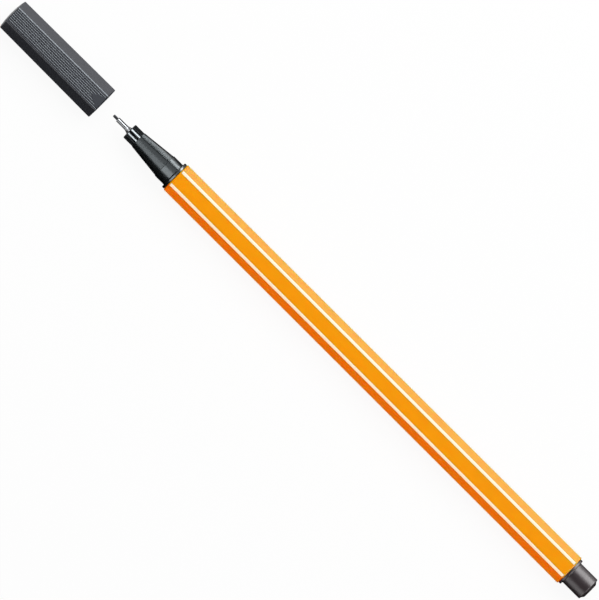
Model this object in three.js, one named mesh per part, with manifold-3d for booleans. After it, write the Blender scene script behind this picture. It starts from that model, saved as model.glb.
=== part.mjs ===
// Hexagonal fineliner pen lying on one of its flats, with the cap pulled off and lying in line
// in front of the nib. Lengths are in millimetres and +Z is up. The axis of the pen runs along
// X, with the nib towards -X. In the pen group x = 0 is the front face of the barrel, in the
// cap group it is the mouth of the cap, and in both the axis is the line y = z = 0. The two
// groups are placed so that the origin is below the middle of the whole, on the table.

import * as THREE from 'three';
import { mergeVertices } from 'three/addons/utils/BufferGeometryUtils.js';
import Module from 'manifold-3d';

const wasm = await Module();
wasm.setup();

// Barrel and the white stripes in its edges
const barrelLength = 130;
const barrelAcrossFlats = 7.3;
const barrelWall = 0.65;
const barrelCornerRadius = 0.7;
const barrelEndBevel = 0.35;
const stripeWidth = 0.78;
const stripeDepth = 0.3;
const stripeClearance = 0.02;

// Nose section, from the spigot inside the barrel to the ribbed collar at the front
const pressClearance = 0.05;
const noseSpigotLength = 9;
const noseSpigotWall = 0.4;
const spigotChamfer = 0.3;
const flangeThickness = 0.65;
const flangeStep = 0.65;
const flangeRimRadius = 0.2;
const seatStep = 0.25;
const seatLength = 2.95;
const seatEdgeBevel = 0.08;
const coneStep = 0.12;
const coneLength = 8.65;
const coneFrontDiameter = 4.2;
const collarStep = 0.05;
const collarLength = 3;
const collarRibCount = 12;
const collarRibWidth = 0.42;
const collarRibHeight = 0.22;
const collarFrontBevel = 0.12;
const chamberReach = 2.25;

// Metal sleeve and nib
const sleeveExposed = 3.83;
const sleeveHidden = 4.5;
const sleeveTipDiameter = 1.12;
const sleeveRootDiameter = 1.9;
const sleeveWall = 0.2;
const sleeveFlareLength = 1.35;
const sleeveBoreTaper = 1.8;
const nibExposed = 1.35;
const nibDomeLength = 0.3;
const nibRodDiameter = 1.4;
const nibClearance = 0.05;
const nibShoulderSetback = 0.15;
const nibChannelClearance = 0.1;
const nibReach = 8;
const nibTailChamfer = 0.4;

// Ink reservoir and its film
const filmThickness = 0.12;
const filmClearance = 0.05;
const fibreClearance = 0.04;
const reservoirEndClearance = 0.2;

// Rear plug
const plugSpigotLength = 8;
const plugSpigotWall = 0.6;
const plugFlangeThickness = 0.63;
const plugFlangeStep = 0.65;
const plugFlangeRimRadius = 0.15;
const plugPostStep = 0.12;
const plugPostLength = 5.35;
const plugPostRounding = 0.4;
const plugEndWall = 1.2;
const plugBossDiameter = 4.4;
const plugBossLength = 0.72;
const plugBossBevel = 0.2;
const plugStemDiameter = 2.4;
const plugStemReach = 12.4;

// Cap and the soft seal in it
const capFitClearance = 0.075;
const capWall = 0.6;
const capTaper = 0.3;
const capCornerRadius = 0.5;
const capMouthRounding = 0.3;
const capMouthChamfer = 0.15;
const capEndRounding = 0.3;
const capEndBulge = 0.4;
const capEndWall = 1.4;
const capTailLength = 8.1;
const capTailBoreDiameter = 4.6;
const capStopGap = 0.07;
const capRestGap = 3.8;
const sealMouthDiameter = 4.9;
const sealBoreDiameter = 4.6;
const sealMouthTaper = 1.2;
const sealWall = 0.5;
const sealEndWall = 0.8;
const nibRoom = 1.4;

// Ribs of the cap: grooves between them, on every second face
const grooveCount = 8;
const groovePitch = 0.5;
const grooveWidth = 0.3;
const grooveDepth = 0.13;
const grooveEndMargin = 0.9;
const grooveRampLength = 0.9;
const archHeight = 3.4;
const archFoot = 0.3;

// Fineness of the facets
const roundSteps = 32;
const fineRoundSteps = 24;
const cornerSteps = 4;
const quarterSteps = 3;
const flareSteps = 4;
const domeSteps = 3;

// Radii and stations that follow from the sizes above
const boreRadius = barrelAcrossFlats / 2 - barrelWall;
const spigotRadius = boreRadius - pressClearance;
const seatRadius = spigotRadius + seatStep;
const flangeRadius = seatRadius + flangeStep;
const coneRearRadius = seatRadius - coneStep;
const coneFrontRadius = coneFrontDiameter / 2;
const collarRadius = coneFrontRadius - collarStep;
const chamberRadius = spigotRadius - noseSpigotWall;
const filmRadius = chamberRadius - filmClearance;
const filmBoreRadius = filmRadius - filmThickness;
const reservoirRadius = filmBoreRadius - fibreClearance;

const sleeveTipRadius = sleeveTipDiameter / 2;
const sleeveRootRadius = sleeveRootDiameter / 2;
const sleeveBoreRadius = sleeveTipRadius - sleeveWall;
const nibTipRadius = sleeveBoreRadius - nibClearance;
const nibRodRadius = nibRodDiameter / 2;

const flangeFront = -flangeThickness;
const seatFront = flangeFront - seatLength;
const coneFront = seatFront - coneLength;
const collarFront = coneFront - collarLength;
const sleeveFront = collarFront - sleeveExposed;
const sleeveRear = collarFront + sleeveHidden;
const sleeveFlareStart = collarFront - sleeveFlareLength;
const nibTip = sleeveFront - nibExposed;
const chamberFront = flangeFront - chamberReach;
const reservoirFront = chamberFront + reservoirEndClearance;
const nibRear = reservoirFront + nibReach;

const plugSpigotFront = barrelLength - plugSpigotLength;
const plugStemFront = plugSpigotFront - plugStemReach;
const reservoirRear = plugStemFront - reservoirEndClearance;
const plugFlangeRear = barrelLength + plugFlangeThickness;
const plugPostRear = plugFlangeRear + plugPostLength;
const plugRear = plugPostRear + plugBossLength;
const plugPostRadius = spigotRadius + plugPostStep;
const plugFlangeRadius = plugPostRadius + plugFlangeStep;

// Inside the cap a depth is counted from its mouth. With the cap home, the mouth stops just
// short of the flange, so a point of the nose at x lies at depth homeDepth(x).
const homeDepth = (x) => flangeFront - capStopGap - x;
const capBoreRadius = seatRadius + capFitClearance;
const capMouthAcrossFlats = 2 * (capBoreRadius + capWall);
const sealMouthRadius = sealMouthDiameter / 2;
const sealRadius = sealBoreDiameter / 2 + sealWall;
const coneSlope = (coneRearRadius - coneFrontRadius) / coneLength;
const sealTouchRadius = sealMouthRadius - pressClearance;
const sealMouthDepth = homeDepth(seatFront) + (coneRearRadius - sealTouchRadius) / coneSlope;
const sealFloorDepth = homeDepth(nibTip) + nibRoom;
const sealEndDepth = sealFloorDepth + sealEndWall;
const capLength = sealEndDepth + capTailLength;

const sectors = (count, offset = 0) =>
  Array.from({ length: count }, (_, k) => offset + (k / count) * 2 * Math.PI);

// Closed solid from any geometry whose triangles bound one volume
function toSolid(geometry) {
  const bare = geometry.clone();
  bare.deleteAttribute('normal');
  bare.deleteAttribute('uv');
  const merged = mergeVertices(bare, 1e-5);
  const corners = merged.index.array;
  const triVerts = [];
  for (let i = 0; i < corners.length; i += 3) {
    const [a, b, c] = [corners[i], corners[i + 1], corners[i + 2]];
    if (a !== b && b !== c && c !== a) triVerts.push(a, b, c);
  }
  return new wasm.Manifold(new wasm.Mesh({
    numProp: 3,
    vertProperties: merged.attributes.position.array,
    triVerts: Uint32Array.from(triVerts),
  }));
}

function toGeometry(solid) {
  const { vertProperties, triVerts } = solid.getMesh();
  const geometry = new THREE.BufferGeometry();
  geometry.setAttribute('position', new THREE.BufferAttribute(vertProperties, 3));
  geometry.setIndex(new THREE.BufferAttribute(triVerts, 1));
  geometry.computeVertexNormals();
  return geometry;
}

// Solid turned about the X axis. The profile is a list of [x, radius] that runs from -X to +X
// on the outside, and either starts and ends on the axis or closes on itself.
function turned(profile, steps = roundSteps) {
  const points = profile.map(([x, radius]) => new THREE.Vector2(radius, x));
  const geometry = new THREE.LatheGeometry(points, steps);
  geometry.rotateZ(-Math.PI / 2);
  return toSolid(geometry);
}

// Points of a quarter circle from one angle on, with its centre at [x, radius]
function quarter(x, radius, size, fromDegrees) {
  return Array.from({ length: quarterSteps + 1 }, (_, k) => {
    const angle = THREE.MathUtils.degToRad(fromDegrees - (90 * k) / quarterSteps);
    return [x + size * Math.cos(angle), radius + size * Math.sin(angle)];
  });
}

// Outline of a hexagon with rounded corners, flats up and down, as [y, z] points
function roundedHexagon(acrossFlats, cornerRadius) {
  const cornerDistance = (acrossFlats / 2 - cornerRadius) / Math.cos(Math.PI / 6);
  return sectors(6).flatMap((corner) =>
    Array.from({ length: cornerSteps + 1 }, (_, k) => {
      const angle = corner + (k / cornerSteps - 0.5) * (Math.PI / 3);
      return [
        cornerDistance * Math.cos(corner) + cornerRadius * Math.cos(angle),
        cornerDistance * Math.sin(corner) + cornerRadius * Math.sin(angle),
      ];
    }));
}

// Outline of the collar with its ribs, as [y, z] points
function ribbedCircle(radius) {
  const root = radius - collarRibHeight;
  const halfRib = collarRibWidth / 2;
  return sectors(collarRibCount, Math.PI / collarRibCount).flatMap((middle) =>
    [[root, -1], [radius, -1], [radius, 1], [root, 1]].map(([distance, side]) => {
      const angle = middle + side * Math.asin(halfRib / distance);
      return [distance * Math.cos(angle), distance * Math.sin(angle)];
    }));
}

// Solid through sections with equal numbers of [y, z] points, from -X to +X. The end faces are
// fans round a middle point, which bulges by frontBulge at the -X end.
function lofted(sections, frontBulge = 0) {
  const count = sections[0].outline.length;
  const positions = sections.flatMap(({ x, outline }) => outline.flatMap(([y, z]) => [x, y, z]));
  const triangles = [];
  for (let ring = 0; ring < sections.length - 1; ring += 1) {
    for (let k = 0; k < count; k += 1) {
      const a = ring * count + k;
      const b = ring * count + ((k + 1) % count);
      triangles.push(a, b, b + count, a, b + count, a + count);
    }
  }
  const middle = ({ x, outline }, bulge) => {
    const sum = outline.reduce(([y, z], point) => [y + point[0], z + point[1]], [0, 0]);
    return [x - bulge, sum[0] / count, sum[1] / count];
  };
  const front = sections.length * count;
  const rear = front + 1;
  const last = (sections.length - 1) * count;
  positions.push(...middle(sections[0], frontBulge), ...middle(sections.at(-1), 0));
  for (let k = 0; k < count; k += 1) {
    const next = (k + 1) % count;
    triangles.push(front, next, k, rear, last + k, last + next);
  }
  const geometry = new THREE.BufferGeometry();
  geometry.setAttribute('position', new THREE.Float32BufferAttribute(positions, 3));
  geometry.setIndex(triangles);
  return toSolid(geometry);
}

// Box as long as the barrel and more, standing on one corner line of the hexagon
function edgeBox(corner, floorDistance, width) {
  const height = barrelAcrossFlats;
  const box = new THREE.BoxGeometry(barrelLength * 1.2, height, width);
  box.translate(barrelLength / 2, floorDistance + height / 2, 0);
  box.rotateX(corner);
  return toSolid(box);
}

function material(color, roughness, metalness = 0) {
  return new THREE.MeshStandardMaterial({ color, roughness, metalness });
}

function part(name, solid, surface) {
  const mesh = new THREE.Mesh(toGeometry(solid), surface);
  mesh.name = name;
  return mesh;
}

const barrelCorners = sectors(6);
const stripeTop = (barrelAcrossFlats / 2 - barrelCornerRadius) / Math.cos(Math.PI / 6)
  + barrelCornerRadius;
const stripeFloor = stripeTop - stripeDepth;

function barrelBlank() {
  const section = (x, inset) => ({
    x,
    outline: roundedHexagon(barrelAcrossFlats - 2 * inset, barrelCornerRadius - inset),
  });
  return lofted([
    section(0, barrelEndBevel),
    section(barrelEndBevel, 0),
    section(barrelLength - barrelEndBevel, 0),
    section(barrelLength, barrelEndBevel),
  ]);
}

function barrel() {
  const overrun = barrelWall;
  const bore = turned([
    [-overrun, 0],
    [-overrun, boreRadius],
    [barrelLength + overrun, boreRadius],
    [barrelLength + overrun, 0],
  ]);
  const hollow = barrelBlank().subtract(bore);
  return barrelCorners.reduce((solid, corner) => solid.subtract(
    edgeBox(corner, stripeFloor - stripeClearance, stripeWidth + 2 * stripeClearance),
  ), hollow);
}

function edgeStripe(corner) {
  return barrelBlank().intersect(edgeBox(corner, stripeFloor, stripeWidth));
}

function collar() {
  return lofted([
    { x: collarFront, outline: ribbedCircle(collarRadius - collarFrontBevel) },
    { x: collarFront + collarFrontBevel, outline: ribbedCircle(collarRadius) },
    { x: coneFront + collarRibHeight, outline: ribbedCircle(collarRadius) },
  ]);
}

function noseSection() {
  const body = turned([
    [coneFront, 0],
    [coneFront, coneFrontRadius],
    [seatFront, coneRearRadius],
    [seatFront, seatRadius - seatEdgeBevel],
    [seatFront + seatEdgeBevel, seatRadius],
    [flangeFront, seatRadius],
    ...quarter(flangeFront + flangeRimRadius, flangeRadius - flangeRimRadius, flangeRimRadius, 180),
    [0, flangeRadius],
    [0, spigotRadius],
    [noseSpigotLength - spigotChamfer, spigotRadius],
    [noseSpigotLength, spigotRadius - spigotChamfer],
    [noseSpigotLength, 0],
  ]);
  const overrun = barrelWall;
  const bores = turned([
    [collarFront - overrun, 0],
    [collarFront - overrun, sleeveRootRadius + pressClearance],
    [sleeveRear + pressClearance, sleeveRootRadius + pressClearance],
    [sleeveRear + pressClearance, nibRodRadius + nibChannelClearance],
    [chamberFront, nibRodRadius + nibChannelClearance],
    [chamberFront, chamberRadius],
    [noseSpigotLength + overrun, chamberRadius],
    [noseSpigotLength + overrun, 0],
  ]);
  return body.add(collar()).subtract(bores);
}

// The sleeve widens like a trumpet towards the collar, and its bore opens for the nib's rod
function tipSleeve() {
  const lip = sleeveWall / 3;
  const flare = Array.from({ length: flareSteps + 1 }, (_, k) => {
    const along = k / flareSteps;
    return [
      sleeveFlareStart + along * sleeveFlareLength,
      sleeveTipRadius + (sleeveRootRadius - sleeveTipRadius) * along ** 2,
    ];
  });
  return turned([
    [sleeveFront, sleeveBoreRadius],
    [sleeveFront, sleeveTipRadius - lip],
    [sleeveFront + lip, sleeveTipRadius],
    ...flare,
    [sleeveRear, sleeveRootRadius],
    [sleeveRear, nibRodRadius + nibClearance],
    [sleeveFlareStart + sleeveBoreTaper, nibRodRadius + nibClearance],
    [sleeveFlareStart, sleeveBoreRadius],
    [sleeveFront, sleeveBoreRadius],
  ], fineRoundSteps);
}

function writingNib() {
  const shoulder = sleeveFlareStart + nibShoulderSetback;
  const dome = Array.from({ length: domeSteps + 1 }, (_, k) => {
    const angle = (k / domeSteps) * (Math.PI / 2);
    return [nibTip + nibDomeLength * (1 - Math.cos(angle)), nibTipRadius * Math.sin(angle)];
  });
  return turned([
    ...dome,
    [shoulder, nibTipRadius],
    [shoulder + sleeveBoreTaper, nibRodRadius],
    [nibRear - nibTailChamfer, nibRodRadius],
    [nibRear, nibRodRadius - nibTailChamfer],
    [nibRear, 0],
  ], fineRoundSteps);
}

function inkReservoir() {
  const rod = turned([
    [reservoirFront, 0],
    [reservoirFront, reservoirRadius],
    [reservoirRear, reservoirRadius],
    [reservoirRear, 0],
  ]);
  const nibSocket = turned([
    [reservoirFront - nibReach, 0],
    [reservoirFront - nibReach, nibRodRadius + nibClearance],
    [nibRear + nibClearance, nibRodRadius + nibClearance],
    [nibRear + nibClearance, 0],
  ], fineRoundSteps);
  return rod.subtract(nibSocket);
}

function reservoirFilm() {
  return turned([
    [reservoirFront, filmBoreRadius],
    [reservoirFront, filmRadius],
    [reservoirRear, filmRadius],
    [reservoirRear, filmBoreRadius],
    [reservoirFront, filmBoreRadius],
  ]);
}

// Hollow plug with a stem in the middle that keeps the reservoir from sliding back
function endPlug() {
  const floor = plugPostRear - plugEndWall;
  const bore = spigotRadius - plugSpigotWall;
  const bossRadius = plugBossDiameter / 2;
  return turned([
    [plugStemFront, 0],
    [plugStemFront, plugStemDiameter / 2],
    [floor, plugStemDiameter / 2],
    [floor, bore],
    [plugSpigotFront, bore],
    [plugSpigotFront, spigotRadius - spigotChamfer],
    [plugSpigotFront + spigotChamfer, spigotRadius],
    [barrelLength, spigotRadius],
    [barrelLength, plugFlangeRadius],
    ...quarter(plugFlangeRear - plugFlangeRimRadius, plugFlangeRadius - plugFlangeRimRadius,
      plugFlangeRimRadius, 90),
    [plugFlangeRear, plugPostRadius],
    ...quarter(plugPostRear - plugPostRounding, plugPostRadius - plugPostRounding,
      plugPostRounding, 90),
    [plugPostRear, bossRadius],
    [plugRear - plugBossBevel, bossRadius],
    [plugRear, bossRadius - plugBossBevel],
    [plugRear, 0],
  ]);
}

// Half the width across flats of the cap at x
const capFlat = (x) => capMouthAcrossFlats / 2 + (capTaper / 2) * (x / capLength);

function capBlank() {
  const section = (x, inset) => ({
    x,
    outline: roundedHexagon(2 * (capFlat(x) - inset), capCornerRadius - inset),
  });
  const rim = -capLength + capEndBulge;
  const rounding = (size) => Array.from({ length: quarterSteps + 1 }, (_, k) => {
    const angle = (k / quarterSteps) * (Math.PI / 2);
    return [size * (1 - Math.sin(angle)), size * (1 - Math.cos(angle))];
  });
  const closedEnd = rounding(capEndRounding).reverse().map(([inset, along]) =>
    section(rim + capEndRounding - along, capEndRounding - inset));
  const mouth = rounding(capMouthRounding).reverse().map(([inset, along]) =>
    section(along - capMouthRounding, inset));
  const face = closedEnd[0];
  const dome = Array.from({ length: domeSteps - 1 }, (_, k) => {
    const share = (k + 1) / domeSteps;
    return {
      x: face.x - capEndBulge * (1 - share ** 2),
      outline: face.outline.map(([y, z]) => [y * share, z * share]),
    };
  });
  const bulge = dome[0].x + capLength;
  return lofted([...dome, ...closedEnd, ...mouth], bulge);
}

// Wedge that cuts one groove of the cap, deepest in the middle and running out at both ends
function grooveWedge(face, offset) {
  const halfSpan = (grooveCount * groovePitch) / 2;
  const arch = archFoot + archHeight * Math.sqrt(1 - (offset / halfSpan) ** 2);
  const start = -capLength + grooveEndMargin;
  const end = -arch;
  const section = (x, depth) => {
    const flat = capFlat(x);
    return {
      x,
      outline: [
        [offset, flat - depth],
        [offset + grooveWidth, flat + grooveDepth],
        [offset - grooveWidth, flat + grooveDepth],
      ],
    };
  };
  const above = grooveDepth / 2;
  const wedge = lofted([
    section(start, -above),
    section(start + grooveRampLength, grooveDepth),
    section(end - grooveRampLength, grooveDepth),
    section(end, -above),
  ]);
  return wedge.rotate([THREE.MathUtils.radToDeg(face), 0, 0]);
}

function capShell() {
  const overrun = capWall;
  const bore = turned([
    [-(capLength - capEndWall), 0],
    [-(capLength - capEndWall), capTailBoreDiameter / 2],
    [-sealEndDepth - pressClearance, capTailBoreDiameter / 2],
    [-sealEndDepth - pressClearance, sealRadius + pressClearance],
    [-sealMouthDepth, sealRadius + pressClearance],
    [-sealMouthDepth, capBoreRadius],
    [-capMouthChamfer, capBoreRadius],
    [0, capBoreRadius + capMouthChamfer],
    [overrun, capBoreRadius + capMouthChamfer],
    [overrun, 0],
  ]);
  const ribbedFaces = sectors(3);
  const offsets = Array.from({ length: grooveCount }, (_, k) =>
    (k - (grooveCount - 1) / 2) * groovePitch);
  const wedges = ribbedFaces.flatMap((face) => offsets.map((offset) => grooveWedge(face, offset)));
  return wedges.reduce((solid, wedge) => solid.subtract(wedge), capBlank().subtract(bore));
}

// Thimble that closes round the cone of the nose when the cap is home
function capInnerSeal() {
  return turned([
    [-sealEndDepth, 0],
    [-sealEndDepth, sealRadius],
    [-sealMouthDepth, sealRadius],
    [-sealMouthDepth, sealMouthRadius],
    [-sealMouthDepth - sealMouthTaper, sealBoreDiameter / 2],
    [-sealFloorDepth, sealBoreDiameter / 2],
    [-sealFloorDepth, 0],
  ]);
}

const orangePlastic = material(0xf79a0c, 0.32);
const whitePlastic = material(0xfff4e0, 0.35);
const blackPlastic = material(0x17191c, 0.3);
const steel = material(0xb9bcc0, 0.25, 1);
const nibFibre = material(0x3a3c40, 0.6);
const wadding = material(0xd9d4c8, 0.95);
const clearFilm = material(0xdfe6ea, 0.2);
const plugPlastic = material(0x4a4447, 0.4);
const capPlastic = material(0x5a5e64, 0.4);
const softPlastic = material(0xe6e6e2, 0.5);

const pen = new THREE.Group();
pen.add(
  part('barrel', barrel(), orangePlastic),
  ...barrelCorners.map((corner, k) => part(`edge_stripe_${k + 1}`, edgeStripe(corner), whitePlastic)),
  part('nose_section', noseSection(), blackPlastic),
  part('tip_sleeve', tipSleeve(), steel),
  part('writing_nib', writingNib(), nibFibre),
  part('ink_reservoir', inkReservoir(), wadding),
  part('reservoir_film', reservoirFilm(), clearFilm),
  part('end_plug', endPlug(), plugPlastic),
);

const cap = new THREE.Group();
cap.add(
  part('cap_shell', capShell(), capPlastic),
  part('cap_inner_seal', capInnerSeal(), softPlastic),
);

// Both lie on the table: the widest piece, the mouth of the cap, sets the height of the axis
const capMouth = nibTip - capRestGap;
const middle = (capMouth - capLength + plugRear) / 2;
const axisHeight = Math.max(capMouthAcrossFlats / 2, flangeRadius, barrelAcrossFlats / 2);
pen.position.set(-middle, 0, axisHeight);
cap.position.set(capMouth - middle, 0, axisHeight);

const fineliner = new THREE.Group();
fineliner.add(pen, cap);

export default fineliner;
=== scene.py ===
"""Looks of the hexagonal fineliner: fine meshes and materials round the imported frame."""
import math

import bpy
from mathutils import Matrix, Vector


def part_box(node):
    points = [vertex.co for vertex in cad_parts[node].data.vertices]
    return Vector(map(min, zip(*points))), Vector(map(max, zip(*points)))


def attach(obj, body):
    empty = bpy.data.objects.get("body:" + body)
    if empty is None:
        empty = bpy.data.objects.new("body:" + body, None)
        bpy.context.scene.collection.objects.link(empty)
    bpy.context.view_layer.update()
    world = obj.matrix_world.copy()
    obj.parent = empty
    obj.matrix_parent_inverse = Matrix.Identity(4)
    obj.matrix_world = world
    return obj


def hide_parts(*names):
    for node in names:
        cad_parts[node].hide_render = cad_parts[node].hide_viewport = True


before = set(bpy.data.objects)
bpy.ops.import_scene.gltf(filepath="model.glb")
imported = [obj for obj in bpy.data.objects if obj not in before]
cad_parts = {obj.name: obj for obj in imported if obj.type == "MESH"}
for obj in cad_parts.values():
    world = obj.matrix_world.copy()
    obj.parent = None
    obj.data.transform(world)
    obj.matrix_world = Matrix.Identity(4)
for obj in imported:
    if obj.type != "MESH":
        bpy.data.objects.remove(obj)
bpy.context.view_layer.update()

MM = 0.001

# Sizes of the pen that the frame doesn't give by itself: barrel and stripes
STRIPE_WIDTH = 0.78 * MM
STRIPE_DEPTH = 0.3 * MM
SEAM = 0.01 * MM
CORNER_RADIUS = 0.7 * MM
BARREL_BORE = 3.0 * MM
END_ROUNDING = 0.35 * MM

# Nose
FLANGE_THICKNESS = 0.72 * MM
SEAT_RADIUS = 3.2 * MM
SEAT_LENGTH = 2.95 * MM
CONE_REAR_RADIUS = 3.08 * MM
CONE_FRONT_RADIUS = 2.15 * MM
CONE_LENGTH = 8.65 * MM
COLLAR_RADIUS = 2.09 * MM
RIB_COUNT = 12
RIB_WIDTH = 0.58 * MM
RIB_TURN = math.radians(-1.5)
RIB_CROWN = 0.012 * MM
GROOVE_IN_COLLAR = 0.48 * MM
SPIGOT_RADIUS = 2.95 * MM
CHAMBER_RADIUS = 2.55 * MM
CHAMBER_REACH = 2.25 * MM
NIB_CHANNEL_RADIUS = 0.8 * MM

# Sleeve and nib
SLEEVE_TIP_RADIUS = 0.59 * MM
SLEEVE_WALL = 0.2 * MM
SLEEVE_FLARE = 1.35 * MM
SLEEVE_BORE_TAPER = 1.8 * MM
PRESS_CLEARANCE = 0.05 * MM
NIB_TIP_RADIUS = 0.345 * MM
NIB_SETBACK = 0.15 * MM
NIB_END_RADIUS = 0.9 * NIB_TIP_RADIUS
NIB_END_LENGTH = 0.5 * MM

# Plug
POST_RADIUS = 3.07 * MM
POST_LENGTH = 5.35 * MM
PLUG_FLANGE_THICKNESS = 0.63 * MM
PLUG_END_WALL = 1.2 * MM
PLUG_SPIGOT = 8 * MM
PLUG_BORE = 2.35 * MM
POST_BEVEL_START = 0.13 * MM
POST_BEVEL_MIDDLE = 0.28 * MM
BOSS_RADIUS = 1.95 * MM
STEM_RADIUS = 1.2 * MM
GATE_RADIUS = 0.6 * MM
GATE_FLOOR_RADIUS = 0.48 * MM
GATE_DEPTH = 0.12 * MM

# Cap and seal
CAP_TAPER = 0.15 * MM
CAP_CORNER_RADIUS = 0.55 * MM
CAP_BORE_RADIUS = 3.275 * MM
CAP_SEAT_RADIUS = 2.85 * MM
CAP_TAIL_RADIUS = 2.3 * MM
CAP_END_WALL = 1.4 * MM
CAP_BULGE = 0.4 * MM
CAP_ROUNDING = 0.24 * MM
CAP_MOUTH_CHAMFER = 0.15 * MM
SEAL_BORE_RADIUS = 2.35 * MM
SEAL_MOUTH_RADIUS = 2.5 * MM
SEAL_MOUTH_TAPER = 1.2 * MM
SEAL_END_WALL = 0.8 * MM
GROOVE_COUNT = 8
GROOVE_PITCH = 0.5 * MM
REED_RADIUS = 0.285 * MM
GROOVE_MARGIN = 0.5 * MM
GROOVE_RAMP = 0.35 * MM
ARCH_HEIGHT = 3.15 * MM
ARCH_HALF_WIDTH = 1.7 * MM
ARCH_POWER = 1.35
FACE_EDGE = 0.95

# Places and sizes that the frame gives
barrel_lo, barrel_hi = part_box("barrel")
nose_lo, nose_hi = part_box("nose_section")
sleeve_lo, sleeve_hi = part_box("tip_sleeve")
nib_lo, nib_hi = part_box("writing_nib")
plug_lo, plug_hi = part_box("end_plug")
cap_lo, cap_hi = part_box("cap_shell")
seal_lo, seal_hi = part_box("cap_inner_seal")
AXIS = Vector((0, 0, (barrel_lo.z + barrel_hi.z) / 2))
FLAT = (barrel_hi.z - barrel_lo.z) / 2
FLANGE_RADIUS = (nose_hi.z - nose_lo.z) / 2
PLUG_FLANGE_RADIUS = (plug_hi.z - plug_lo.z) / 2
CAP_FLAT = (cap_hi.z - cap_lo.z) / 2
SLEEVE_ROOT_RADIUS = (sleeve_hi.z - sleeve_lo.z) / 2
NIB_ROD_RADIUS = (nib_hi.z - nib_lo.z) / 2
SEAL_RADIUS = (seal_hi.z - seal_lo.z) / 2

SIXTH = math.pi / 3
TWELFTH = math.pi / 6

# Steps of the meshes
ROUNDING_STEPS = 5
FLAT_STEPS = 6
STRIPE_STEPS = 8
RIB_STEPS = 6
NOSE_SIDES = 144
PLUG_SIDES = 96
SEAL_SIDES = 72
SLEEVE_SIDES = 64
FLARE_STEPS = 12
NIB_SIDES = 48
CAP_CORNER_STEPS = 8
BULGE_STEPS = 6
RUN_IN_STEPS = 10
RUN_OUT_STEPS = 40


# Mesh tools

def smoothstep(low, high, value):
    """0 up to low, 1 from high on, and a soft step between them."""
    share = min(1.0, max(0.0, (value - low) / (high - low)))
    return share * share * (3 - 2 * share)


def spread(low, high, count):
    """count + 1 values from low to high."""
    return [low + (high - low) * k / count for k in range(count + 1)]


def skin(rings, closed=False):
    """Vertices and faces through rings, from the front to the rear on the outside. A ring of one
    point is a pole, and a closed skin joins its last ring to its first."""
    vertices, starts = [], []
    for ring in rings:
        starts.append(len(vertices))
        vertices.extend(ring)
    pairs = [(i, i + 1) for i in range(len(rings) - 1)]
    if closed:
        pairs.append((len(rings) - 1, 0))
    faces = []
    for i, j in pairs:
        n, m = len(rings[i]), len(rings[j])
        for k in range(max(n, m)):
            corners = [
                starts[i] + k % n,
                starts[i] + (k + 1) % n,
                starts[j] + (k + 1) % m,
                starts[j] + k % m,
            ]
            faces.append([v for at, v in enumerate(corners) if v not in corners[:at]])
    return vertices, faces


def rounded(corners):
    """Profile of (x, radius) points through corners of (x, radius, rounding). The last corner
    counts as the neighbour of the first."""
    points = []
    for i, (x, r, size) in enumerate(corners):
        if size == 0:
            points.append((x, r))
            continue
        here = Vector((x, r))
        before = (Vector(corners[i - 1][:2]) - here).normalized()
        after = (Vector(corners[(i + 1) % len(corners)][:2]) - here).normalized()
        half = before.angle(after) / 2
        start = before * (size / math.tan(half))
        end = after * (size / math.tan(half))
        middle = (before + after).normalized() * (size / math.sin(half))
        sweep = math.pi - 2 * half
        for share in spread(0, 1, ROUNDING_STEPS):
            arm = (start - middle) * math.sin((1 - share) * sweep)
            arm += (end - middle) * math.sin(share * sweep)
            points.append(tuple(here + middle + arm / math.sin(sweep)))
    return points


def circle(x, radius, turns):
    """Points of a circle about the axis, or its one point where the radius is 0."""
    if radius == 0:
        return [(x, 0, 0)]
    return [(x, radius * math.cos(t), radius * math.sin(t)) for t in turns]


def turned(corners, sides, closed=False):
    """Skin turned about the axis from a profile with rounded corners."""
    turns = spread(0, 2 * math.pi, sides)[:-1]
    return skin([circle(x, r, turns) for x, r in rounded(corners)], closed)


def along(angle, distance, side):
    """(y, z) at a distance from the axis in a direction, and a step to its left."""
    return (
        distance * math.cos(angle) - side * math.sin(angle),
        distance * math.sin(angle) + side * math.cos(angle),
    )


def end_rounding(size):
    """(distance from the end face, inset) round an end edge, the end face first."""
    turns = spread(math.pi / 2, 0, ROUNDING_STEPS)
    return [(size * (1 - math.sin(t)), size * (1 - math.cos(t))) for t in turns]


def piece(name, made, material, body, slot, *nodes, sharp=28.0):
    """Object from (vertices, faces) in place of CAD nodes, smooth except over sharp edges."""
    vertices, faces = made
    mesh = bpy.data.meshes.new(name)
    mesh.from_pydata([Vector(v) + AXIS for v in vertices], [], faces)
    mesh.validate()
    mesh.polygons.foreach_set("use_smooth", [True] * len(mesh.polygons))
    mesh.set_sharp_from_angle(angle=math.radians(sharp))
    mesh.materials.append(material)
    made_object = bpy.data.objects.new(name, mesh)
    bpy.context.scene.collection.objects.link(made_object)
    weighted = made_object.modifiers.new("flat_faces_stay_flat", "WEIGHTED_NORMAL")
    weighted.keep_sharp = True
    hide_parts(*nodes)
    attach(made_object, body)
    return made_object


# Barrel and stripes

CORNER_CENTRE = (FLAT - CORNER_RADIUS) / math.cos(TWELFTH)
STRIPE_TOP = CORNER_CENTRE + CORNER_RADIUS
STRIPE_FLOOR = STRIPE_TOP - STRIPE_DEPTH


def edge_distance(inset, side):
    """Distance along a corner's direction at which the flat beside it has that side step."""
    return (FLAT - inset - side / 2) / math.cos(TWELFTH)


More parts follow.
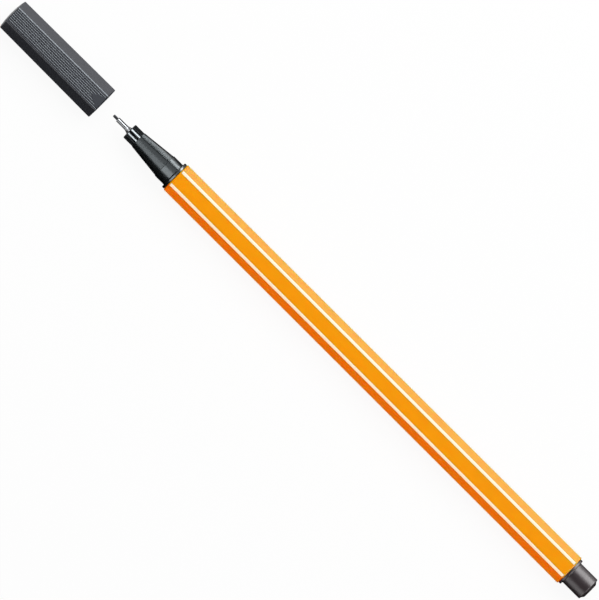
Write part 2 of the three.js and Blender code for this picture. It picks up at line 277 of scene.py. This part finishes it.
def barrel_outline(inset, open_channel):
    """(y, z) points and the bore's turns opposite to them: each corner, then a flat. A corner is
    a channel for its stripe, or is full where the end of the barrel is rounded."""
    half = STRIPE_WIDTH / 2 + SEAM
    edge = edge_distance(inset, half)
    spread_turn = math.atan2(half, edge)
    floor, reach = STRIPE_FLOOR - SEAM, half
    if not open_channel:
        radius, reach = CORNER_RADIUS - inset, half / 2
        floor = CORNER_CENTRE + math.sqrt(radius ** 2 - reach ** 2)
    points, turns = [], []
    for corner in range(6):
        angle = corner * SIXTH
        points += [
            along(angle, edge, -half),
            along(angle, floor, -reach),
            along(angle, floor, reach),
            along(angle, edge, half),
        ]
        turns += [angle + spread_turn * share for share in (-1, -0.4, 0.4, 1)]
        start, end = Vector(points[-1]), Vector(along(angle + SIXTH, edge, -half))
        for share in spread(0, 1, FLAT_STEPS)[1:-1]:
            point = start.lerp(end, share)
            points.append(tuple(point))
            turns.append(math.atan2(point.y, point.x) % (2 * math.pi))
    return points, turns


def barrel_skin():
    """Tube with rounded end edges, and a channel for each stripe between them."""
    places = [(barrel_lo.x + distance, inset) for distance, inset in end_rounding(END_ROUNDING)]
    rears = [(barrel_hi.x - distance, inset) for distance, inset in end_rounding(END_ROUNDING)]
    outlines = [(x, inset, False) for x, inset in places]
    outlines += [(*places[-1], True), (*rears[-1], True)]
    outlines += [(x, inset, False) for x, inset in reversed(rears)]
    rings = []
    for x, inset, open_channel in outlines:
        rings.append([(x, y, z) for y, z in barrel_outline(inset, open_channel)[0]])
    turns = barrel_outline(0, True)[1]
    rings.append(circle(barrel_hi.x, BARREL_BORE, turns))
    rings.append(circle(barrel_lo.x, BARREL_BORE, turns))
    return skin(rings, closed=True)


def stripe_section(x, corner):
    """Points round a stripe at x: its floor in the channel and the barrel's rounded corner."""
    half = STRIPE_WIDTH / 2
    edge = edge_distance(0, half)
    section = [(STRIPE_FLOOR, -half), (edge, -half)]
    for turn in spread(-TWELFTH, TWELFTH, STRIPE_STEPS):
        section.append(
            (CORNER_CENTRE + CORNER_RADIUS * math.cos(turn), CORNER_RADIUS * math.sin(turn))
        )
    section += [(edge, half), (STRIPE_FLOOR, half)]
    return [(x, *along(corner * SIXTH, distance, side)) for distance, side in section]


def stripe_skin(corner):
    """White strip between the rounded ends of the barrel."""
    front, rear = barrel_lo.x + END_ROUNDING + SEAM, barrel_hi.x - END_ROUNDING - SEAM
    middle = along(corner * SIXTH, (STRIPE_FLOOR + STRIPE_TOP) / 2, 0)
    return skin([
        [(front, *middle)],
        stripe_section(front, corner),
        stripe_section(rear, corner),
        [(rear, *middle)],
    ])


# Nose, sleeve and nib

FLANGE_FRONT = barrel_lo.x - FLANGE_THICKNESS
SEAT_FRONT = FLANGE_FRONT - SEAT_LENGTH
CONE_FRONT = SEAT_FRONT - CONE_LENGTH
CHAMBER_FRONT = FLANGE_FRONT - CHAMBER_REACH


def collar_section():
    """(turn, depth) points round the collar: nearly flat ribs with a V between them."""
    pitch = 2 * math.pi / RIB_COUNT
    half = RIB_WIDTH / 2
    points = []
    for rib in range(RIB_COUNT):
        top = RIB_TURN + (rib + 0.5) * pitch
        for side in spread(-half, half, RIB_STEPS):
            points.append((top + side / COLLAR_RADIUS, RIB_CROWN * (side / half) ** 2))
        points.append((top + pitch / 2, GROOVE_IN_COLLAR))
    return points


def collar_skin():
    """The ribbed front end of the nose."""
    front, bore = nose_lo.x, SLEEVE_ROOT_RADIUS + PRESS_CLEARANCE
    corners = [
        (front, bore, 0.04 * MM),
        (front, COLLAR_RADIUS, 0.26 * MM),
        (CONE_FRONT, COLLAR_RADIUS, 0),
        (CONE_FRONT, bore, 0),
    ]
    rings = []
    for x, radius in rounded(corners):
        ring = []
        for turn, depth in collar_section():
            ring += circle(x, min(radius, COLLAR_RADIUS - depth), [turn])
        rings.append(ring)
    return skin(rings, closed=True)


def nose_skin():
    """Cone, cap seat and flange, and the spigot and nib channel inside the barrel."""
    rear, bore = nose_hi.x, SLEEVE_ROOT_RADIUS + PRESS_CLEARANCE
    corners = [
        (CONE_FRONT, bore, 0),
        (CONE_FRONT, CONE_FRONT_RADIUS, 0.04 * MM),
        (SEAT_FRONT, CONE_REAR_RADIUS, 0.06 * MM),
        (SEAT_FRONT, SEAT_RADIUS, 0.05 * MM),
        (FLANGE_FRONT, SEAT_RADIUS, 0.12 * MM),
        (FLANGE_FRONT, FLANGE_RADIUS, 0.2 * MM),
        (barrel_lo.x, FLANGE_RADIUS, 0.2 * MM),
        (barrel_lo.x, SPIGOT_RADIUS, 0),
        (rear, SPIGOT_RADIUS, 0.3 * MM),
        (rear, CHAMBER_RADIUS, 0.05 * MM),
        (CHAMBER_FRONT, CHAMBER_RADIUS, 0),
        (CHAMBER_FRONT, NIB_CHANNEL_RADIUS, 0),
        (sleeve_hi.x + PRESS_CLEARANCE, NIB_CHANNEL_RADIUS, 0),
        (sleeve_hi.x + PRESS_CLEARANCE, bore, 0),
    ]
    return turned(corners, NOSE_SIDES, closed=True)


def sleeve_skin():
    """Drawn tube that widens like a trumpet towards the collar."""
    flare_start = nose_lo.x - SLEEVE_FLARE
    bore = SLEEVE_TIP_RADIUS - SLEEVE_WALL
    rod_bore = NIB_ROD_RADIUS + PRESS_CLEARANCE
    corners = [
        (sleeve_lo.x, bore, 0.03 * MM),
        (sleeve_lo.x, SLEEVE_TIP_RADIUS, 0.09 * MM),
    ]
    for share in spread(0, 1, FLARE_STEPS):
        swell = (SLEEVE_ROOT_RADIUS - SLEEVE_TIP_RADIUS) * share ** 2
        corners.append((flare_start + share * SLEEVE_FLARE, SLEEVE_TIP_RADIUS + swell, 0))
    corners += [
        (sleeve_hi.x, SLEEVE_ROOT_RADIUS, 0.05 * MM),
        (sleeve_hi.x, rod_bore, 0),
        (flare_start + SLEEVE_BORE_TAPER, rod_bore, 0),
        (flare_start, bore, 0),
    ]
    return turned(corners, SLEEVE_SIDES, closed=True)


def nib_skin():
    """Fine round point and the thicker rod that runs back into the reservoir."""
    shoulder = nose_lo.x - SLEEVE_FLARE + NIB_SETBACK
    corners = [
        (nib_lo.x, 0, 0),
        (nib_lo.x, NIB_END_RADIUS, 0.2 * MM),
        (nib_lo.x + NIB_END_LENGTH, NIB_TIP_RADIUS, 0.3 * MM),
        (shoulder, NIB_TIP_RADIUS, 0),
        (shoulder + SLEEVE_BORE_TAPER, NIB_ROD_RADIUS, 0),
        (nib_hi.x, NIB_ROD_RADIUS, 0.4 * MM),
        (nib_hi.x, 0, 0),
    ]
    return turned(corners, NIB_SIDES)


# Plug

def plug_skin():
    """Hollow spigot with a stem, flange, post and a bevelled end with a gate mark."""
    flange_rear = barrel_hi.x + PLUG_FLANGE_THICKNESS
    post_rear = flange_rear + POST_LENGTH
    floor = post_rear - PLUG_END_WALL
    spigot_front = barrel_hi.x - PLUG_SPIGOT
    corners = [
        (plug_lo.x, 0, 0),
        (plug_lo.x, STEM_RADIUS, 0.2 * MM),
        (floor, STEM_RADIUS, 0),
        (floor, PLUG_BORE, 0),
        (spigot_front, PLUG_BORE, 0.05 * MM),
        (spigot_front, SPIGOT_RADIUS, 0.3 * MM),
        (barrel_hi.x, SPIGOT_RADIUS, 0),
        (barrel_hi.x, PLUG_FLANGE_RADIUS, 0.08 * MM),
        (flange_rear, PLUG_FLANGE_RADIUS, 0.18 * MM),
        (flange_rear, POST_RADIUS, 0.1 * MM),
        (post_rear + POST_BEVEL_START, POST_RADIUS, 0.2 * MM),
        (post_rear + POST_BEVEL_MIDDLE, (POST_RADIUS + BOSS_RADIUS) / 2, 0.2 * MM),
        (plug_hi.x, BOSS_RADIUS, 0.2 * MM),
        (plug_hi.x, GATE_RADIUS, 0.04 * MM),
        (plug_hi.x - GATE_DEPTH, GATE_FLOOR_RADIUS, 0.04 * MM),
        (plug_hi.x - GATE_DEPTH, 0, 0),
    ]
    return turned(corners, PLUG_SIDES)


# Cap

CAP_LENGTH = cap_hi.x - cap_lo.x
REED_STEP = GROOVE_PITCH / 10


def cap_flat(x):
    """Half the width across flats of the cap at x."""
    return CAP_FLAT + CAP_TAPER * (x - cap_hi.x) / CAP_LENGTH


def face_sides(half, ribbed):
    """Steps to the side across a face of that half width. On a ribbed face they fall on the tops
    of the reeds and on the valleys between them."""
    if not ribbed:
        return spread(-half, half, FLAT_STEPS)
    narrowest = (cap_flat(cap_lo.x) - CAP_CORNER_RADIUS) * math.tan(TWELFTH)
    reach = int(narrowest / REED_STEP)
    return [-half] + [k * REED_STEP for k in range(-reach, reach + 1)] + [half]


def groove_depth(x, side):
    """Depth of the grooves of a ribbed face at x and at a step to the side of its middle."""
    if abs(side) >= GROOVE_COUNT * GROOVE_PITCH / 2:
        return 0.0
    off_top = ((side / GROOVE_PITCH + 0.5) % 1 - 0.5) * GROOVE_PITCH
    reed = REED_RADIUS - math.sqrt(REED_RADIUS ** 2 - off_top ** 2)
    arch = cap_hi.x + GROOVE_RAMP
    if abs(side) < ARCH_HALF_WIDTH:
        arch = cap_hi.x - ARCH_HEIGHT * (1 - (abs(side) / ARCH_HALF_WIDTH) ** ARCH_POWER)
    start = cap_lo.x + GROOVE_MARGIN
    run_in = smoothstep(start, start + GROOVE_RAMP, x)
    run_out = 1 - smoothstep(arch - GROOVE_RAMP, arch, x)
    return reed * run_in * run_out


def cap_outline(x, inset=0.0):
    """(y, z) points round the cap: each face and then the corner after it."""
    flat = cap_flat(x) - inset
    radius = max(CAP_CORNER_RADIUS - inset, SEAM)
    half = (flat - radius) * math.tan(TWELFTH)
    points = []
    for face in range(6):
        angle = TWELFTH + face * SIXTH
        ribbed = face % 2 == 1
        for side in face_sides(half, ribbed):
            fade = 1 - smoothstep(half * FACE_EDGE, half, abs(side))
            depth = groove_depth(x, side) * fade if ribbed else 0
            points.append(along(angle, flat - depth, side))
        centre = along(angle, flat - radius, half)
        for turn in spread(angle, angle + SIXTH, CAP_CORNER_STEPS)[1:-1]:
            points.append((centre[0] + radius * math.cos(turn), centre[1] + radius * math.sin(turn)))
    return points


def cap_rings_along():
    """Places of the rings between the two rounded ends, close where grooves run in and out."""
    start, end = cap_lo.x + CAP_BULGE + CAP_ROUNDING, cap_hi.x - CAP_ROUNDING
    run_in_end = cap_lo.x + GROOVE_MARGIN + GROOVE_RAMP
    arch_start = cap_hi.x - ARCH_HEIGHT - GROOVE_RAMP
    return spread(start, run_in_end, RUN_IN_STEPS) + spread(arch_start, end, RUN_OUT_STEPS)


def cap_skin():
    """Hexagonal shell with a bulged closed end, rounded rims and the bore for nose and seal."""
    rim = cap_lo.x + CAP_BULGE
    face = cap_outline(rim, CAP_ROUNDING)
    rings = [[(cap_lo.x, 0, 0)]]
    for share in spread(0, 1, BULGE_STEPS)[1:-1]:
        x = rim - CAP_BULGE * (1 - share ** 2)
        rings.append([(x, y * share, z * share) for y, z in face])
    ends = end_rounding(CAP_ROUNDING)
    for distance, inset in ends[:-1]:
        rings.append([(rim + distance, y, z) for y, z in cap_outline(rim, inset)])
    for x in cap_rings_along():
        rings.append([(x, y, z) for y, z in cap_outline(x)])
    for distance, inset in reversed(ends[:-1]):
        rings.append([(cap_hi.x - distance, y, z) for y, z in cap_outline(cap_hi.x, inset)])
    turns = [math.atan2(z, y) for y, z in cap_outline(cap_hi.x, CAP_ROUNDING)]
    floor = cap_lo.x + CAP_END_WALL
    inside = [
        (cap_hi.x, CAP_BORE_RADIUS + CAP_MOUTH_CHAMFER),
        (cap_hi.x - CAP_MOUTH_CHAMFER, CAP_BORE_RADIUS),
        (seal_hi.x, CAP_BORE_RADIUS),
        (seal_hi.x, CAP_SEAT_RADIUS),
        (seal_lo.x - PRESS_CLEARANCE, CAP_SEAT_RADIUS),
        (seal_lo.x - PRESS_CLEARANCE, CAP_TAIL_RADIUS),
        (floor, CAP_TAIL_RADIUS),
        (floor, 0),
    ]
    rings += [circle(x, r, turns) for x, r in inside]
    return skin(rings)


def seal_skin():
    """Thimble that closes round the nose."""
    corners = [
        (seal_lo.x, 0, 0),
        (seal_lo.x, SEAL_RADIUS, 0.2 * MM),
        (seal_hi.x, SEAL_RADIUS, 0.08 * MM),
        (seal_hi.x, SEAL_MOUTH_RADIUS, 0.05 * MM),
        (seal_hi.x - SEAL_MOUTH_TAPER, SEAL_BORE_RADIUS, 0),
        (seal_lo.x + SEAL_END_WALL, SEAL_BORE_RADIUS, 0.3 * MM),
        (seal_lo.x + SEAL_END_WALL, 0, 0),
    ]
    return turned(corners, SEAL_SIDES)


# Materials

PLASTIC_IOR = 1.5
NOISE_ROUGHNESS = 0.55
NOISE_LOW, NOISE_HIGH = 0.3, 0.7
CLOUDS = (350, 350, 350)
GRAIN = (9000, 9000, 9000)
DRAW_LINES = (30, 3500, 3500)
DRAW_LINE_HEIGHT = 0.002 * MM


class Surface:
    """A Principled material with noise that follows the piece, in features per metre."""

    def __init__(self, name, **sockets):
        self.material = bpy.data.materials.new(name)
        self.material.use_nodes = True
        self.nodes = self.material.node_tree.nodes
        self.links = self.material.node_tree.links
        self.shader = self.nodes["Principled BSDF"]
        self.normal = None
        for socket, value in sockets.items():
            self.shader.inputs[socket.replace("_", " ")].default_value = value
        self.place = self.nodes.new("ShaderNodeTexCoord").outputs["Object"]

    def noise(self, stretch, detail):
        """Noise output from 0 to 1. stretch is its features per metre along x, y and z."""
        mapping = self.nodes.new("ShaderNodeMapping")
        mapping.inputs["Scale"].default_value = stretch
        texture = self.nodes.new("ShaderNodeTexNoise")
        texture.inputs["Scale"].default_value = 1.0
        texture.inputs["Detail"].default_value = detail
        texture.inputs["Roughness"].default_value = NOISE_ROUGHNESS
        self.links.new(self.place, mapping.inputs["Vector"])
        self.links.new(mapping.outputs["Vector"], texture.inputs["Vector"])
        return texture.outputs["Fac"]

    def ranged(self, value, low, high):
        """A noise value from the span in which most of it lies to low .. high."""
        span = self.nodes.new("ShaderNodeMapRange")
        span.inputs["From Min"].default_value = NOISE_LOW
        span.inputs["From Max"].default_value = NOISE_HIGH
        span.inputs["To Min"].default_value = low
        span.inputs["To Max"].default_value = high
        self.links.new(value, span.inputs["Value"])
        return span.outputs["Result"]

    def color(self, value, first, second):
        """Base colour that goes from the first to the second with value."""
        mix = self.nodes.new("ShaderNodeMix")
        mix.data_type = "RGBA"
        mix.inputs["A"].default_value = (*first, 1)
        mix.inputs["B"].default_value = (*second, 1)
        self.links.new(self.ranged(value, 0, 1), mix.inputs["Factor"])
        self.links.new(mix.outputs["Result"], self.shader.inputs["Base Color"])

    def roughness(self, value, low, high):
        """Roughness that goes from low to high with value."""
        self.links.new(self.ranged(value, low, high), self.shader.inputs["Roughness"])

    def bump(self, value, height):
        """Adds relief of that height, in metres, on top of any before it."""
        node = self.nodes.new("ShaderNodeBump")
        node.inputs["Strength"].default_value = 1.0
        node.inputs["Distance"].default_value = height
        self.links.new(value, node.inputs["Height"])
        if self.normal is not None:
            self.links.new(self.normal, node.inputs["Normal"])
        self.normal = node.outputs["Normal"]
        self.links.new(self.normal, self.shader.inputs["Normal"])


def srgb(red, green, blue):
    """Linear colour of an sRGB one given in 0 to 255."""
    def linear(value):
        value /= 255
        return value / 12.92 if value <= 0.04045 else ((value + 0.055) / 1.055) ** 2.4
    return tuple(linear(v) for v in (red, green, blue))


def barrel_plastic():
    """Extruded plastic: smooth, with very faint draw lines along the barrel."""
    made = Surface("barrel_orange", IOR=PLASTIC_IOR, Subsurface_Weight=0.7,
                   Subsurface_Scale=1.2 * MM, Subsurface_Radius=(1.0, 0.22, 0.05))
    lines = made.noise(DRAW_LINES, 4.0)
    clouds = made.noise((120, 260, 260), 2.0)
    made.color(clouds, srgb(243, 165, 4), srgb(240, 161, 3))
    made.roughness(lines, 0.2, 0.27)
    made.bump(lines, DRAW_LINE_HEIGHT)
    return made.material


def stripe_plastic():
    """The white plastic that is extruded with the barrel, with the same draw lines."""
    made = Surface("stripe_white", IOR=PLASTIC_IOR, Subsurface_Weight=0.2,
                   Subsurface_Scale=0.5 * MM, Subsurface_Radius=(1.0, 0.8, 0.6))
    lines = made.noise(DRAW_LINES, 4.0)
    made.color(lines, srgb(254, 243, 219), srgb(250, 237, 211))
    made.roughness(lines, 0.27, 0.36)
    made.bump(lines, DRAW_LINE_HEIGHT)
    return made.material


def moulded(name, first, second, low, high, grain_height, ior=PLASTIC_IOR):
    """Injection-moulded plastic from the first to the second colour and from low to high
    roughness, with a fine even grain."""
    made = Surface(name, IOR=ior)
    clouds = made.noise(CLOUDS, 3.0)
    fine = made.noise(GRAIN, 2.0)
    made.color(clouds, srgb(*first), srgb(*second))
    made.roughness(clouds, low, high)
    made.bump(fine, grain_height)
    return made.material


def drawn_steel():
    """Bright metal with turning lines round it and a few scratches along it."""
    made = Surface("sleeve_steel", Metallic=1.0)
    rings = made.noise((26000, 500, 500), 3.0)
    scratches = made.noise((900, 16000, 16000), 2.0)
    made.color(scratches, srgb(214, 217, 220), srgb(190, 194, 198))
    made.roughness(rings, 0.14, 0.26)
    made.bump(rings, 0.0015 * MM)
    made.bump(scratches, 0.0006 * MM)
    return made.material


def nib_material():
    """Plastic fibre soaked in black ink: fine threads along the nib."""
    made = Surface("nib_fibre", IOR=1.45)
    threads = made.noise((1200, 22000, 22000), 3.0)
    made.color(threads, srgb(30, 31, 34), srgb(74, 76, 80))
    made.roughness(threads, 0.35, 0.6)
    made.bump(threads, 0.01 * MM)
    return made.material


def wadding():
    """Bonded fibre of the ink reservoir."""
    made = Surface("reservoir_fibre", IOR=1.4, Sheen_Weight=0.3)
    threads = made.noise((400, 14000, 14000), 5.0)
    made.color(threads, srgb(226, 221, 208), srgb(172, 168, 160))
    made.roughness(threads, 0.85, 1.0)
    made.bump(threads, 0.05 * MM)
    return made.material


def film():
    """Thin clear film with faint creases."""
    made = Surface("reservoir_film", IOR=1.49, Transmission_Weight=0.85)
    creases = made.noise((250, 900, 900), 3.0)
    made.color(creases, srgb(238, 243, 246), srgb(220, 228, 233))
    made.roughness(creases, 0.12, 0.28)
    made.bump(creases, 0.01 * MM)
    return made.material


# Floor, lamps and camera

PX = 0.2334 * MM
VIEW_SIDE_PX = 600
PEN_ANGLE = math.radians(44.96)
VIEW_CENTRE = Vector((-0.505 * MM, 0.14 * MM, AXIS.z))
LENS_MM = 800
SENSOR_MM = 36
CLIP_START, CLIP_END = 0.01, 20
FLOOR_SIZE = 6.0
FLOOR_Z = -0.01 * MM
FLOOR_GLOW = 0.93
PAPER = (0.88, 0.88, 0.88, 1)
HOOD_RADIUS = 1.0
HOOD_STEPS = 30
HOOD_CLOTH = (0.004, 0.004, 0.004, 1)
CLOTH_Z = -0.004 * MM
MAT_START = 9 * MM
WORLD_LIGHT = 0.14
LAMP_DISTANCE = 0.7
COOL = (0.87, 0.96, 1.0)
GLOW_PLACE = Vector((nose_lo.x - 0.117, 0.113, 0.0001))


def backdrop_share(nodes, links):
    """1 for rays from the camera, from a mirror or through glass, and 0 for light that spreads."""
    path = nodes.new("ShaderNodeLightPath")
    share = path.outputs["Is Camera Ray"]
    for kind in ("Is Glossy Ray", "Is Transmission Ray"):
        either = nodes.new("ShaderNodeMath")
        either.operation = "MAXIMUM"
        links.new(share, either.inputs[0])
        links.new(path.outputs[kind], either.inputs[1])
        share = either.outputs[0]
    return share


def floor_material():
    """White to the camera and in reflections: mostly glow, and a little paper, on which the
    shadows show."""
    material = bpy.data.materials.new("floor_white")
    material.use_nodes = True
    nodes, links = material.node_tree.nodes, material.node_tree.links
    nodes.clear()
    share = nodes.new("ShaderNodeMath")
    share.operation = "MULTIPLY"
    share.inputs[1].default_value = FLOOR_GLOW
    paper = nodes.new("ShaderNodeBsdfDiffuse")
    paper.inputs["Color"].default_value = PAPER
    glow = nodes.new("ShaderNodeEmission")
    glow.inputs["Color"].default_value = (1, 1, 1, 1)
    glow.inputs["Strength"].default_value = 1.0
    mix = nodes.new("ShaderNodeMixShader")
    out = nodes.new("ShaderNodeOutputMaterial")
    links.new(backdrop_share(nodes, links), share.inputs[0])
    links.new(share.outputs[0], mix.inputs["Fac"])
    links.new(paper.outputs[0], mix.inputs[1])
    links.new(glow.outputs[0], mix.inputs[2])
    links.new(mix.outputs[0], out.inputs["Surface"])
    return material


def sheet_of(name, profile, half_length, material):
    """Stage sheet drawn along x from (y, z) points."""
    mesh = bpy.data.meshes.new(name)
    vertices = [(x, y, z) for y, z in profile for x in (-half_length, half_length)]
    faces = [(2 * k, 2 * k + 1, 2 * k + 3, 2 * k + 2) for k in range(len(profile) - 1)]
    mesh.from_pydata(vertices, [], faces)
    mesh.materials.append(material)
    made = bpy.data.objects.new(name, mesh)
    bpy.context.scene.collection.objects.link(made)
    return made


def floor():
    """White floor just below the pen."""
    half = FLOOR_SIZE / 2
    sheet_of("floor", [(-half, FLOOR_Z), (half, FLOOR_Z)], half, floor_material())


def dark_hood():
    """Black cloth that only reflections see: a tunnel over the pen with both its ends closed, the
    floor under the pen and on its -Y side, and two mats on its +Y side.
    The sheet on the floor is painted shadow: it stands for the pen's shadow on the floor in
    reflections.
    The mats are painted shade: they darken the floor beside the nose in its reflections."""
    cloth = bpy.data.materials.new("hood_cloth")
    cloth.use_nodes = True
    shader = cloth.node_tree.nodes["Principled BSDF"]
    shader.inputs["Base Color"].default_value = HOOD_CLOTH
    shader.inputs["Roughness"].default_value = 1.0
    shader.inputs["Specular IOR Level"].default_value = 0.0
    profile = [
        (HOOD_RADIUS * math.cos(turn), HOOD_RADIUS * math.sin(turn) + CLOTH_Z)
        for turn in spread(math.pi, 0, HOOD_STEPS)
    ]
    cloths = [sheet_of("dark_hood", profile, HOOD_RADIUS, cloth)]
    # Painted shadow: the dark floor sheet under the pen and on its -Y side stands for the pen's
    # shadow on the floor, seen only in reflections.
    floor_half = HOOD_RADIUS / 2
    floor_profile = [(MAT_START, CLOTH_Z), (-HOOD_RADIUS, CLOTH_Z)]
    painted_shadow_floor = sheet_of("painted_shadow_floor", floor_profile, floor_half, cloth)
    painted_shadow_floor.location.x = cap_lo.x - 1 * MM + floor_half
    cloths.append(painted_shadow_floor)
    for name, x, turn in (("dark_front", -HOOD_RADIUS, 90), ("dark_rear", HOOD_RADIUS, -90)):
        end = sheet_of(name, [(-HOOD_RADIUS, 0), (HOOD_RADIUS, 0)], HOOD_RADIUS, cloth)
        end.location.x = x
        end.rotation_euler.y = math.radians(turn)
        cloths.append(end)
    # Painted shade: two dark mats that darken the floor beside the nose in its reflections.
    for name, x, half_length, far in (
        ("painted_shade_mat", sleeve_lo.x + 1.5 * MM, 5.5 * MM, HOOD_RADIUS),
        ("painted_shade_seat_mat", SEAT_FRONT + SEAT_LENGTH / 2, 1.8 * MM, 18 * MM),
    ):
        mat = sheet_of(name, [(MAT_START, CLOTH_Z), (far, CLOTH_Z)], half_length, cloth)
        mat.location.x = x
        cloths.append(mat)
    for made in cloths:
        made.visible_camera = False
        made.visible_diffuse = False
        made.visible_transmission = False
        made.visible_shadow = False


def world_light():
    """Dim white light, and full white to the camera, in reflections and through glass."""
    world = bpy.data.worlds.new("studio")
    bpy.context.scene.world = world
    world.use_nodes = True
    nodes, links = world.node_tree.nodes, world.node_tree.links
    background = nodes["Background"]
    background.inputs["Color"].default_value = (1, 1, 1, 1)
    strength = nodes.new("ShaderNodeMapRange")
    strength.inputs["To Min"].default_value = WORLD_LIGHT
    strength.inputs["To Max"].default_value = 1.0
    links.new(backdrop_share(nodes, links), strength.inputs["Value"])
    links.new(strength.outputs["Result"], background.inputs["Strength"])


def panel(name, lean, bearing, size, radiance, only=None, shift=0.0, tint=(1, 1, 1)):
    """Soft box that leans from overhead towards a bearing, 0 for +Y and 90 for +X, both in
    degrees, and faces the pen at shift from the middle. only lists the pieces in which it is
    reflected, and it lights nothing. Without the list it lights everything and isn't
    reflected."""
    lamp = bpy.data.lights.new(name, "AREA")
    lamp.shape = "RECTANGLE"
    lamp.size, lamp.size_y = size
    lamp.energy = radiance * math.pi * size[0] * size[1]
    lamp.color = tint
    facing = Matrix.Rotation(-math.radians(bearing), 4, "Z")
    facing = facing @ Matrix.Rotation(-math.radians(lean), 4, "X")
    spot = AXIS + Vector((shift, 0, 0)) + facing @ Vector((0, 0, LAMP_DISTANCE))
    holder = bpy.data.objects.new(name, lamp)
    holder.matrix_world = Matrix.Translation(spot) @ facing
    holder.visible_camera = False
    if only is None:
        holder.visible_glossy = False
    else:
        holder.visible_diffuse = False
        seen_in = bpy.data.collections.new(name + "_seen_in")
        for made in only:
            seen_in.objects.link(made)
        holder.light_linking.receiver_collection = seen_in
    bpy.context.scene.collection.objects.link(holder)
    return holder


def camera():
    """Straight down on the pen, which lies at 45 degrees with its cap at the upper left."""
    right = Vector((math.cos(PEN_ANGLE), math.sin(PEN_ANGLE), 0))
    up = Vector((-math.sin(PEN_ANGLE), math.cos(PEN_ANGLE), 0))
    back = right.cross(up)
    data = bpy.data.cameras.new("camera")
    data.lens = LENS_MM
    data.sensor_width = SENSOR_MM
    data.sensor_fit = "AUTO"
    data.clip_start = CLIP_START
    data.clip_end = CLIP_END
    height = VIEW_SIDE_PX * PX * LENS_MM / SENSOR_MM
    eye = bpy.data.objects.new("camera", data)
    turn = Matrix((right, up, back)).transposed().to_4x4()
    eye.matrix_world = Matrix.Translation(VIEW_CENTRE + back * height) @ turn
    bpy.context.scene.collection.objects.link(eye)
    bpy.context.scene.camera = eye


# The pen

orange = barrel_plastic()
white = stripe_plastic()
black = moulded("nose_black", (16, 19, 21), (12, 15, 17), 0.2, 0.28, 0.001 * MM)
plug_grey = moulded("plug_grey", (47, 37, 40), (42, 32, 35), 0.34, 0.4, 0.001 * MM)
cap_grey = moulded("cap_grey", (54, 55, 62), (48, 49, 55), 0.26, 0.34, 0.0008 * MM, ior=1.42)
soft_white = moulded("seal_soft", (228, 228, 222), (218, 218, 212), 0.4, 0.55, 0.002 * MM)

barrel = piece("barrel_tube", barrel_skin(), orange, "pen", "barrel_orange", "barrel")
lines = [
    piece(f"edge_line_{number + 1}", stripe_skin(number), white, "pen", "stripe_white",
          f"edge_stripe_{number + 1}")
    for number in range(6)
]
nose = piece("nose_moulding", nose_skin(), black, "pen", "nose_black", "nose_section")
collar = piece("nose_collar", collar_skin(), black, "pen", "nose_black", "nose_section")
sleeve = piece("sleeve_tube", sleeve_skin(), drawn_steel(), "pen", "sleeve_steel", "tip_sleeve")
nib = piece("nib_point", nib_skin(), nib_material(), "pen", "nib_fibre", "writing_nib")
plug = piece("plug_moulding", plug_skin(), plug_grey, "pen", "plug_grey", "end_plug")
cap = piece("cap_moulding", cap_skin(), cap_grey, "cap", "cap_grey", "cap_shell", sharp=34.0)
piece("seal_thimble", seal_skin(), soft_white, "cap", "seal_soft", "cap_inner_seal")

for node, material in (("ink_reservoir", wadding()), ("reservoir_film", film())):
    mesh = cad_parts[node].data
    mesh.materials.clear()
    mesh.materials.append(material)

floor()
dark_hood()
world_light()
panel("key", 40, 0, (1.0, 0.5), 3.4)
panel("sky", 0, 0, (1.8, 1.6), 0.38)
# Two warm cards on the -Y side light only the barrel and its stripes, and aren't reflected.
# They make the warm side of the barrel
for name, lean, height, radiance, pieces, tint in (
    ("barrel_card", 70, 0.5, 2.4, [barrel], (1, 0.04, 0.03)),
    ("line_card", 80, 0.3, 5.2, lines, (1, 0.6, 0.44)),
):
    card = panel(name, lean, 180, (1.2, height), radiance, pieces, shift=0.08, tint=tint)
    card.visible_diffuse = True
    card.visible_glossy = False
# The rest is reflections, piece by piece
panel("side_strip", 81, 0, (1.0, 0.28), 9, [nib], shift=0.29)
panel("barrel_end", 60, 90, (0.6, 0.4), 4, [barrel])
panel("nose_strip", 78, 0, (1.0, 0.36), 25, [nose], shift=0.37, tint=COOL)
# The cone's +Y side mirrors what lies low beside it, so its glow lies on the floor, facing up
glow = panel("cone_glow", 0, 0, (0.25, 0.2), 4.0, [nose], tint=COOL)
glow.matrix_world = Matrix.Translation(GLOW_PLACE) @ Matrix.Rotation(math.pi, 4, "X")
panel("top_box", 20, 180, (1.0, 0.71), 7.5, [nose], shift=0.29, tint=COOL)
panel("top_fill", 26, 0, (1.0, 0.5), 1.6, [nose], shift=0.1, tint=COOL)
panel("plug_side", 65, 0, (1.0, 0.7), 8.7, [plug], shift=0.1)
panel("plug_far", 70, 180, (1.0, 0.6), 2.6, [plug], shift=0.1)
panel("plug_rear", 58, 90, (0.5, 0.4), 9, [plug])
panel("cap_side", 65, 0, (1.0, 0.6), 14, [cap], shift=0.1, tint=COOL)
panel("cap_far", 75, 180, (1.0, 0.4), 2.8, [cap])
panel("cap_top", 6, 180, (1.0, 0.5), 1.1, [cap], tint=COOL)
panel("collar_right", 36, 0, (1.0, 0.24), 38, [collar], tint=COOL)
panel("collar_left", 30, 180, (1.0, 0.24), 28, [collar], tint=COOL)
panel("sleeve_key", 38, 0, (1.0, 0.4), 3.2, [sleeve])
panel("sleeve_fill", 50, 180, (1.0, 1.0), 0.5, [sleeve])
panel("sleeve_front", 45, 270, (0.6, 0.5), 0.9, [sleeve])
camera()
bpy.context.scene.view_settings.view_transform = "Standard"

bpy.context.view_layer.update()
